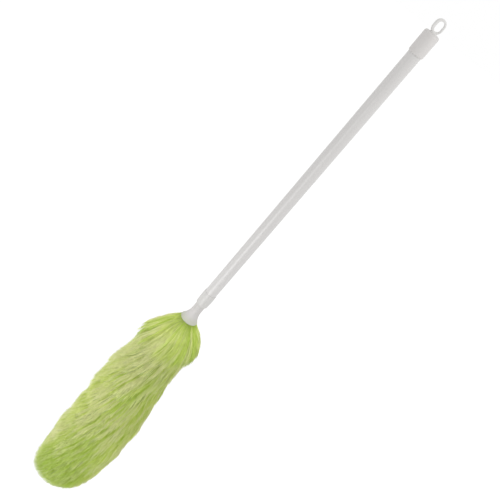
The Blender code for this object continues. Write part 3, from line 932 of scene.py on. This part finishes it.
def copyStrands(name, strand, paths, widths, tones):
    # one copy of the strand along each path, all in one mesh
    count = len(paths)
    step = np.gradient(paths, axis=1)
    step /= np.linalg.norm(step, axis=2, keepdims=True)
    outward = paths * (1.0, 1.0, 0.0)
    side = np.cross(step, outward)
    side /= np.linalg.norm(side, axis=2, keepdims=True) + joinReach * mm
    rise = np.cross(side, step)
    level = strand["level"]
    across = strand["corners"][None, :, 0, None]
    above = strand["corners"][None, :, 1, None]
    wide = widths[:, None, None]
    places = paths[:, level] + wide * (across * side[:, level] + above * rise[:, level])
    sizes = np.array([len(face) for face in strand["faces"]])
    turns = np.concatenate([np.array(face) for face in strand["faces"]])
    shift = np.arange(count)[:, None] * len(level)
    turns = (turns[None, :] + shift).ravel()
    starts = np.concatenate([[0], np.cumsum(np.tile(sizes, count))[:-1]])
    mesh = bpy.data.meshes.new(name)
    mesh.vertices.add(count * len(level))
    fill(mesh.vertices, "co", places)
    mesh.loops.add(len(turns))
    fill(mesh.loops, "vertex_index", turns, np.int32)
    mesh.polygons.add(len(starts))
    fill(mesh.polygons, "loop_start", starts, np.int32)
    mesh.update(calc_edges=True)
    fill(mesh.polygons, "use_smooth", np.ones(len(starts)), bool)
    shape = (count, len(level))
    along = np.broadcast_to(strand["levels"][level][None, :], shape)
    first = np.broadcast_to(tones[0][:, None], shape)
    second = np.broadcast_to(tones[1][:, None], shape)
    layer = mesh.color_attributes.new("fibrePaint", "FLOAT_COLOR", "POINT")
    fill(layer.data, "color", np.stack([along, first, second, np.ones(shape)], axis=2))
    addBakeMap(mesh, strand, along, first, second, turns)
    triangles = int((sizes - 2).sum()) * count
    print(f"{name}: {count} strands, {triangles} triangles")
    return addObject(name, mesh)


def lockPlaces(rng, values):
    # run, angle, lift and tone of each lock's tip, in rings down to the rounded end
    runs, radii = pileOutline[:, 0] * mm, pileOutline[:, 1] * mm
    surface = np.concatenate([[0], np.cumsum(np.hypot(np.diff(runs), np.diff(radii)))])
    start = np.interp(values["firstRun"], runs, surface)
    rings = int((surface[-1] - start) / values["lockPitch"])
    table = []
    apart, astray = values["ringSpread"], values["turnSpread"]
    for ring in range(rings + 1):
        place = start + (surface[-1] - start) * (ring + values["ringStart"]) / (rings + 1)
        radius = np.interp(place, surface, radii)
        around = max(values["leastAround"], round(2 * math.pi * radius / values["lockWidth"]))
        for number in range(around):
            turn = number + 0.5 * (ring % 2) + rng.uniform(-astray, astray)
            angle = 2 * math.pi * turn / around
            tip = np.interp(place, surface, runs)
            tip += rng.uniform(-apart, apart) * values["lockPitch"]
            lift = rng.normal(*values["liftSpread"]) * values["lockLift"]
            below = [ledge for ledge in values["ledges"] if 0 < ledge - tip < values["ledgeReach"]]
            if below and rng.uniform() < values["ledgeShare"]:
                tip = below[0] + rng.uniform(*values["ledgeEnds"]) * mm
                lift = rng.normal(*values["ledgeLift"]) * values["lockLift"]
            table.append((tip, angle, lift, rng.uniform()))
    return np.array(table)


def strandShape(values, locks):
    # the shape of a draw for each strand, and how any draw is handed out to the strands
    shape = (len(locks), values["bunches"], values["strands"])

    def each(draw):
        draw = draw.reshape(draw.shape + (1,) * (3 - draw.ndim))
        return np.broadcast_to(draw, shape).ravel()

    return shape, each


def pileTips(rng, values, locks, bulge, streaks):
    # the tip of each strand in the locks, and how it points
    shape, each = strandShape(values, locks)
    bunches = shape[:2]
    lockRun, lockAngle, lockLift, lockTone = (each(column) for column in locks.T)
    bunchAside, bunchDown = (each(rng.uniform(-0.5, 0.5, bunches)) for _ in range(2))
    bunchLift, bunchLean, bunchSway = (each(rng.normal(0, 1, bunches)) for _ in range(3))
    bunchTone = each(rng.uniform(0, 1, bunches))
    lockSway = each(rng.normal(0, 1, len(locks)))
    lockLength = each(rng.uniform(*values["lockLengths"], len(locks)))
    aside = each(rng.normal(0, values["strandAside"], shape))
    down, lift = (each(rng.normal(0, 1, shape)) for _ in range(2))
    stray = values["strayShare"] * rng.normal(0, 1, shape) ** 3
    lean = each(np.clip(stray, *values["strayRange"]))
    sway = each(rng.normal(0, 1, shape))
    tone = each(rng.uniform(0, 1, shape))

    run = lockRun + values["bunchReach"] * bunchDown + values["strandReach"] * down
    run = np.clip(run, values["endGaps"][0], longest - values["endGaps"][1])
    radius = outlineAt(pileOutline, run, 1)
    acrossLock = values["lockWidth"] * values["lockSpread"] * bunchAside
    across = acrossLock + values["bunchWidth"] * aside
    angle = lockAngle + across / np.maximum(radius, values["leastTurn"])
    radius = radius * (1.0 + bulge(angle, run)) + lockLift
    radius = radius + values["bunchLift"] * bunchLift + values["strandLift"] * lift
    radius = radius + values["strayLift"] * np.maximum(lean, 0.0)
    turned = values["swirl"] + values["sweep"] * np.sin(angle - viewTurn)
    streak = streaks(angle - np.tan(turned) * (run - 0.5 * longest) / radiusScale, run)
    radius = np.maximum(radius + values["ridge"] * (streak - 0.5), values["leastRadius"])

    slopes = np.gradient(pileOutline[:, 1], pileOutline[:, 0])
    slope = np.arctan(np.interp(run, pileOutline[:, 0] * mm, slopes))
    opening = np.where(slope > 0.0, slope, values["closing"] * slope)
    full = values["fullShare"] * outlineAt(pileOutline, values["fullRun"], 1)
    share = np.clip(radius / full, 0.0, 1.0)
    spread = values["leanSpread"] * (bunchLean + values["strayLean"] * lean)
    swept = values["sweep"] * -np.cos(angle - viewTurn)
    tipLean = opening + share * (values["tipLean"] + spread + swept)
    rootSpread = values["rootSpread"] * spread
    rootLean = np.maximum(opening, 0.0) + share * (values["rootLean"] + rootSpread + swept)
    longestHere = values["lengthShare"] * (run - values["rootRun"])
    length = np.minimum(values["strandLength"] * lockLength, longestHere)
    fan = (1.0 - values["lockRoot"]) * acrossLock / length
    ofLock, ofBunch, ofStrand = values["swayShares"]
    sways = ofLock * lockSway + ofBunch * bunchSway + ofStrand * sway
    turned = turned + values["swaySpread"] * sways
    ofStreak, ofBunch, ofStrand = values["toneShares"]
    return {
        "run": run, "radius": radius, "angle": angle, "length": length,
        "tipLean": tipLean, "rootLean": rootLean, "sway": fan + turned * share,
        "tones": (
            ofStreak * streak + ofBunch * bunchTone + ofStrand * tone,
            dyeAndShadeAt(angle, run, lockTone),
        ),
    }


def pilePaths(values, tips, levels):
    # each strand's path from its root, with its lean easing from the root's to the tip's
    steps = values["pathSteps"]
    share = (np.arange(steps) + 0.5) / steps
    lean = tips["rootLean"][:, None] + (tips["tipLean"] - tips["rootLean"])[:, None] * share
    sway = tips["sway"][:, None] * (values["rootSway"] + (1 - values["rootSway"]) * share)
    pieces = np.stack([
        np.cos(lean) * np.cos(sway), np.sin(lean), np.cos(lean) * np.sin(sway),
    ], axis=2) * tips["length"][:, None, None] / steps
    back = np.concatenate([np.cumsum(pieces[:, ::-1], axis=1)[:, ::-1],
                           np.zeros((len(pieces), 1, 3))], axis=1)
    at = np.minimum((levels * steps).astype(int), steps - 1)
    part = (levels * steps - at)[None, :, None]
    back = back[:, at] * (1 - part) + back[:, at + 1] * part
    run = tips["run"][:, None] - back[:, :, 0]
    radial = np.maximum(tips["radius"][:, None] - back[:, :, 1], values["pathRadius"])
    covered = outlineAt(skirtOutline, run, 1) - underSkirt
    radial = np.where(run < skirtCover, np.minimum(radial, covered), radial)
    return run, radial, -back[:, :, 2]


def toPlaces(run, radial, aside, angle):
    # from along, outward and sideways of each tip's own direction to metres
    shiftX, shiftY = shiftAt(run)
    outX, outY = np.cos(angle)[:, None], np.sin(angle)[:, None]
    x = radial * outX - aside * outY + shiftX
    y = radial * outY + aside * outX + shiftY
    return np.stack([x, y, mouthHeight - run], axis=2)


def makePile(rng, values, bulge, streaks):
    strand = modelStrand(values["strandCuts"], values["strandFullness"])
    locks = lockPlaces(rng, values)
    nodes = [f"fibre_tier_{tier + 1}" for tier in range(tierCount)]
    lows = np.array([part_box(node)[0].z for node in nodes])
    tiers = np.minimum(np.searchsorted(-lows, locks[:, 0] - mouthHeight), tierCount - 1)
    for tier, node in enumerate(nodes):
        tips = pileTips(rng, values, locks[tiers == tier], bulge, streaks)
        run, radial, aside = pilePaths(values, tips, strand["levels"])
        paths = toPlaces(run, radial, aside, tips["angle"])
        widths = values["strandWidth"] * rng.uniform(*values["widthSpread"], len(paths))
        piece = copyStrands(f"{node}_strands", strand, paths, widths, tips["tones"])
        finishPiece(piece, "fibre", "shaft", "lime_fibre", node)


def makeCore(values, bulge):
    # the dense middle of the pile, which shows only as depth between the locks; painted in the
    # roots' deep tint as painted shade of the fibres there
    outline = [
        (max(radius * mm - values["coreDepth"], values["coreRadius"]), mouthHeight - run * mm)
        for run, radius, _ in pileOutline[1:-3]
    ]
    core = turnOutline("fibre_core", outline, values["coreSides"], hollow=False)
    for point in core.data.vertices:
        run = mouthHeight - point.co.z
        wave = 1.0 + float(bulge(math.atan2(point.co.y, point.co.x), run))
        shiftX, shiftY = shiftAt(run)
        point.co.x = point.co.x * wave + shiftX
        point.co.y = point.co.y * wave + shiftY
    layer = core.data.color_attributes.new("fibrePaint", "FLOAT_COLOR", "POINT")
    for point in layer.data:
        # painted shade: the core takes the roots' deep tint, as fibres seen in the pile's depth
        point.color = values["coreShadePaint"]
    smooth(core, angle=60 * degree)
    finishPiece(core, "fibre", "shaft", "lime_fibre")


skirt = {
    **fibres,
    "layers": (  # share of the skirt's radius, reach, locks around
        (1.00, 61.0 * mm, 30),
        (0.965, 59.0 * mm, 28),
        (0.91, 57.0 * mm, 24),
        (0.83, 54.0 * mm, 20),
    ),
    "slant": 7.0 * mm,  # the hem is this much lower on the picture's left
    "front": 10.0 * mm,  # and this much lower on the near side
    "hemSpread": 5,  # millimetres
    "turnSpread": 0.4,
    "layerSpread": 0.015,
    "shortShare": 0.42,  # of the bunches end before the hem and stand a little proud
    "shortCuts": (0.32, 1.0),
    "shortProud": 1.8 * mm,
    "shortStraight": 0.75,  # how far they go straight to their ends, not along the bulge
    "shortRun": 22.0 * mm,  # from where on they do
    "ridge": 1.8 * mm,
    "bunches": 19,
    "lockWidth": 13.0 * mm,
    "lockSpread": 1.3,
    "bunchReach": 4.5 * mm,
    "bunchLift": 0.6 * mm,
    "strandReach": 2.0 * mm,
    "strayShare": 0.5,
    "strayMost": 4.0,
    "liftPower": 1.5,  # how late along a strand its lift comes
    "swayPower": 1.4,
    "swirl": -2.0 * degree,
    "swaySpread": 3.0 * degree,
    "rootRuns": (-8, -1),  # millimetres, inside the bell
    "rootRadius": 8.0 * mm,
    "rootBunch": 0.3,  # a bunch's width at its root, as a share of its full width
    "fullRadius": 45.0 * mm,
    "turnRadius": 50.0 * mm,  # for the angle that a strand's streak and dye are read at
    "streakRun": 30.0 * mm,  # where all its streaks are read
    "dyeAndShadeRun": 0.6,  # its dye and painted shade are read at this share of the way to the tip
    "dyeContrast": 2.0,
    "toneShares": (0.60, 0.27, 0.13),
    "strandCuts": (0.11, 0.24, 0.40, 0.60, 0.82),
    "strandFullness": (1.0, 1.0, 1.0, 0.95, 0.78),
}


def makeSkirt(rng, values, streaks):
    # long locks out of the bell and over the pile, down to a ragged hem
    strand = modelStrand(values["strandCuts"], values["strandFullness"])
    levels = strand["levels"][None, :]
    astray, ragged = values["turnSpread"], values["hemSpread"]
    locks = []
    for share, reach, around in values["layers"]:
        for number in range(around):
            angle = 2 * math.pi * (number + rng.uniform(-astray, astray)) / around
            turned = angle - viewTurn
            end = reach - values["slant"] * math.cos(turned)
            end += values["front"] * max(0.0, -math.sin(turned)) + rng.uniform(-ragged, ragged) * mm
            locks.append((end, angle, share + rng.normal(0, values["layerSpread"]), rng.uniform()))
    locks = np.array(locks)
    shape, each = strandShape(values, locks)
    bunches = shape[:2]
    lockEnd, lockAngle, lockShare, lockTone = (each(column) for column in locks.T)
    bunchAside = each(rng.uniform(-0.5, 0.5, bunches))
    bunchDown = each(rng.uniform(-1, 1, bunches))
    bunchLift, bunchSway = (each(rng.normal(0, 1, bunches)) for _ in range(2))
    bunchTone = each(rng.uniform(0, 1, bunches))
    aside = each(rng.normal(0, values["strandAside"], shape))
    down, lift = (each(rng.normal(0, 1, shape)) for _ in range(2))
    tone = each(rng.uniform(0, 1, shape))
    root = each(rng.uniform(*values["rootRuns"], shape)) * mm
    short = each(rng.uniform(0, 1, bunches)) < values["shortShare"]
    cut = np.where(short, each(rng.uniform(*values["shortCuts"], bunches)), 1.0)
    tip = cut * lockEnd
    tip = tip + values["bunchReach"] * bunchDown + values["strandReach"] * down
    run = root[:, None] + (tip - root)[:, None] * levels
    full = outlineAt(skirtOutline, run, 1)
    start = values["rootRadius"]
    radial = start + (full - start) * lockShare[:, None]
    acrossLock = values["lockWidth"] * bunchAside * values["lockSpread"]
    tipAngle = lockAngle + acrossLock / values["turnRadius"]
    streak = streaks(tipAngle, np.full(len(tip), values["streakRun"]))
    stray = np.clip(values["strayShare"] * np.maximum(lift, 0.0) ** 3, 0.0, values["strayMost"])
    proud = values["ridge"] * (streak - 0.5) + values["bunchLift"] * bunchLift
    proud = proud + values["strayLift"] * stray
    radial = radial + proud[:, None] * levels ** values["liftPower"]
    free = np.where(short, np.clip(tip / values["shortRun"] - 1.0, 0.0, 1.0), 0.0)[:, None]
    straight = radial[:, :1] + (radial[:, -1:] - radial[:, :1]) * levels
    radial = radial + free * values["shortStraight"] * (straight - radial)
    radial = radial + free * values["shortProud"] * levels
    wide = np.clip(radial / values["fullRadius"], 0.0, 1.0)
    bunchWide = values["rootBunch"] + (1 - values["rootBunch"]) * wide
    across = acrossLock[:, None] * wide + (values["bunchWidth"] * aside)[:, None] * bunchWide
    sway = np.tan(values["swirl"] + values["swaySpread"] * bunchSway)[:, None]
    across = across + (tip - root)[:, None] * levels ** values["swayPower"] * sway
    paths = toPlaces(run, radial, across, lockAngle)
    centre = np.stack(shiftAt(run), axis=2)
    away = paths[:, :, :2] - centre
    away *= radial[..., None] / np.linalg.norm(away, axis=2, keepdims=True)
    paths[:, :, :2] = centre + away
    widths = values["strandWidth"] * rng.uniform(*values["widthSpread"], len(paths))
    lockTone = 0.5 + values["dyeContrast"] * (lockTone - 0.5)
    dyeAndShade = dyeAndShadeAt(tipAngle, values["dyeAndShadeRun"] * tip, lockTone)
    ofStreak, ofBunch, ofStrand = values["toneShares"]
    tones = (ofStreak * streak + ofBunch * bunchTone + ofStrand * tone, dyeAndShade)
    piece = copyStrands("skirt_strands", strand, paths, widths, tones)
    finishPiece(piece, "fibre", "shaft", "lime_fibre", "skirt_fibres")


rng = np.random.default_rng(pile["seed"])
bulge = makeLumps(rng, pile)
streaks = makeStreaks(rng, pile)
makeSkirt(rng, skirt, streaks)
makePile(rng, pile, bulge, streaks)
makeCore(pile, bulge)
print("fibres grown")


# Studio: pale floor below the pole's longest reach, soft lamps and a pale world
studio = {
    "floorDrop": 0.06,  # below the extended duster
    "floorSide": 30.0,
    "floorTone": 0.86,
    "floorGlow": 0.36,  # for what the camera sees only
    "worldStrength": 0.81,
    "lamps": (
        # name, degrees right of the camera, degrees above level, distance, height aimed
        # at, width and length, its tilt and spread in degrees, watts
        ("strip", -15.0, -27.0, 1.3, -0.27, 0.52, 0.90, 14.0, 180.0, 3.3),
        ("softLeft", -70.0, 10.0, 0.60, -0.92, 0.45, 0.45, 0.0, 110.0, 0.36),
        ("headFront", -12.0, -8.0, 0.75, -0.86, 0.50, 0.50, 0.0, 120.0, 0.95),
        ("softRight", 70.0, 16.0, 0.80, 0.04, 0.50, 0.50, 0.0, 180.0, 2.2),
        ("poleLeft", -60.0, 0.0, 0.80, -0.22, 0.40, 0.40, 0.0, 120.0, 0.16),
    ),
}


def addLamp(name, aside, above, distance, height, width, length, tilt, spread, watts):
    data = bpy.data.lights.new(name, "AREA")
    data.shape = "RECTANGLE"
    data.size = width
    data.size_y = length
    data.spread = spread * degree
    data.energy = watts
    lamp = addObject(name, data)
    away = Vector((0.0, -distance, 0.0))
    away.rotate(Matrix.Rotation(-above * degree, 3, "X"))
    away.rotate(Matrix.Rotation(aside * degree + viewTurn, 3, "Z"))
    lamp.location = Vector((0.0, 0.0, height)) + away
    facing = (-away).to_track_quat("-Z", "Y").to_matrix()
    lamp.rotation_euler = (facing @ Matrix.Rotation(-tilt * degree, 3, "Z")).to_euler()
    lamp.visible_camera = False


def makeStudio(values):
    scene = bpy.context.scene
    scene.view_settings.view_transform = "Standard"
    travel = next(j for j in frame["joints"] if j["name"] == "telescope")["range_m"][1]
    floorHeight = cadBox[0].z - travel - values["floorDrop"]
    floor = begin(
        bpy.ops.mesh.primitive_plane_add, size=values["floorSide"],
        location=(0.0, 0.0, floorHeight),
    )
    floor.name = "studio_floor"
    paint = Finish("paleFloor", 0.9, Specular_IOR_Level=0.0, Emission_Color=white)
    paint.set("Base Color", shaded(white[:3], values["floorTone"]))
    paint.set("Emission Strength", paint.seenRays() * values["floorGlow"])
    floor.data.materials.append(paint.material)

    scene.world = bpy.data.worlds.new("studio")
    scene.world.use_nodes = True
    sky = Web(scene.world.node_tree)
    plain = sky.node("Background", None, {0: white, 1: values["worldStrength"]})
    backdrop = sky.node("Background", None, {0: white, 1: 1.0})
    shown = sky.node("MixShader", None, {0: sky.seenRays(), 1: plain, 2: backdrop})
    sky.feed(sky.tree.nodes["World Output"].inputs["Surface"], shown)

    for lamp in values["lamps"]:
        addLamp(*lamp)
    bpy.data.objects["strip"].visible_diffuse = False


makeStudio(studio)
print("studio lit")
